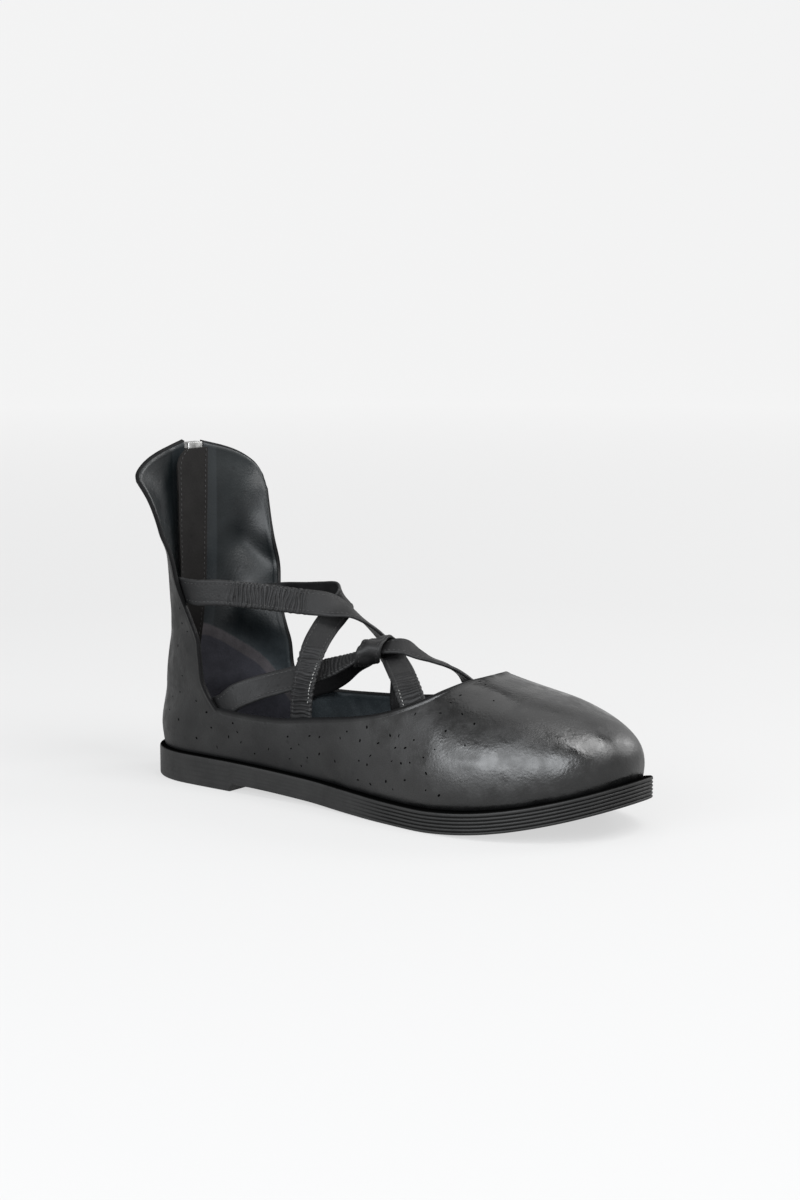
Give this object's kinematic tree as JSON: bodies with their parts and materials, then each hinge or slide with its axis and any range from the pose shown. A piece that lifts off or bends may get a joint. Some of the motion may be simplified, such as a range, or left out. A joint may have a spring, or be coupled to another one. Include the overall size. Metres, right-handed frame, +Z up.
{
  "type": "strapped flat shoe",
  "caption": "Right-foot flat leather shoe with a round toe, a low ribbed sole, a tall open back shaft with a zip, and straps that cross and knot over the instep.",
  "frame": {"origin": "middle of the shoe's box, on the floor", "axes": "+X to the toe, +Y to the inner side of the foot, +Z up"},
  "size_m": [0.259, 0.0904, 0.1565],
  "materials": {
    "sole_rubber": "satin, finely ribbed at the forefoot's edge",
    "sock_lining": "matt",
    "upper_leather": "semi-gloss, pin-pricked",
    "strap_leather": "satin, gathered on elastic in places",
    "zip_tape": "woven",
    "zip_metal": "dull nickel",
    "guard_leather": "matt"
  },
  "bodies": {
    "shoe": {"outsole": "sole_rubber", "insole": "sock_lining", "upper": "upper_leather", "strap_ankle_lateral": "strap_leather", "strap_ankle_medial": "strap_leather", "strap_core": "strap_leather", "strap_wrap": "strap_leather", "zip_tape_lateral": "zip_tape", "zip_tape_medial": "zip_tape", "zip_chain": "zip_metal", "zip_guard": "guard_leather", "zip_slider": "zip_metal"},
    "pull": {"zip_pull": "zip_metal"}
  },
  "joints": [
    {"name": "zip_pull_swing", "type": "hinge", "parent": "shoe", "child": "pull", "pos_m": [-0.12185, 0.003, 0.14775], "axis": [0.0958, 0.9954, 0], "range_deg": [0, 170]}
  ]
}
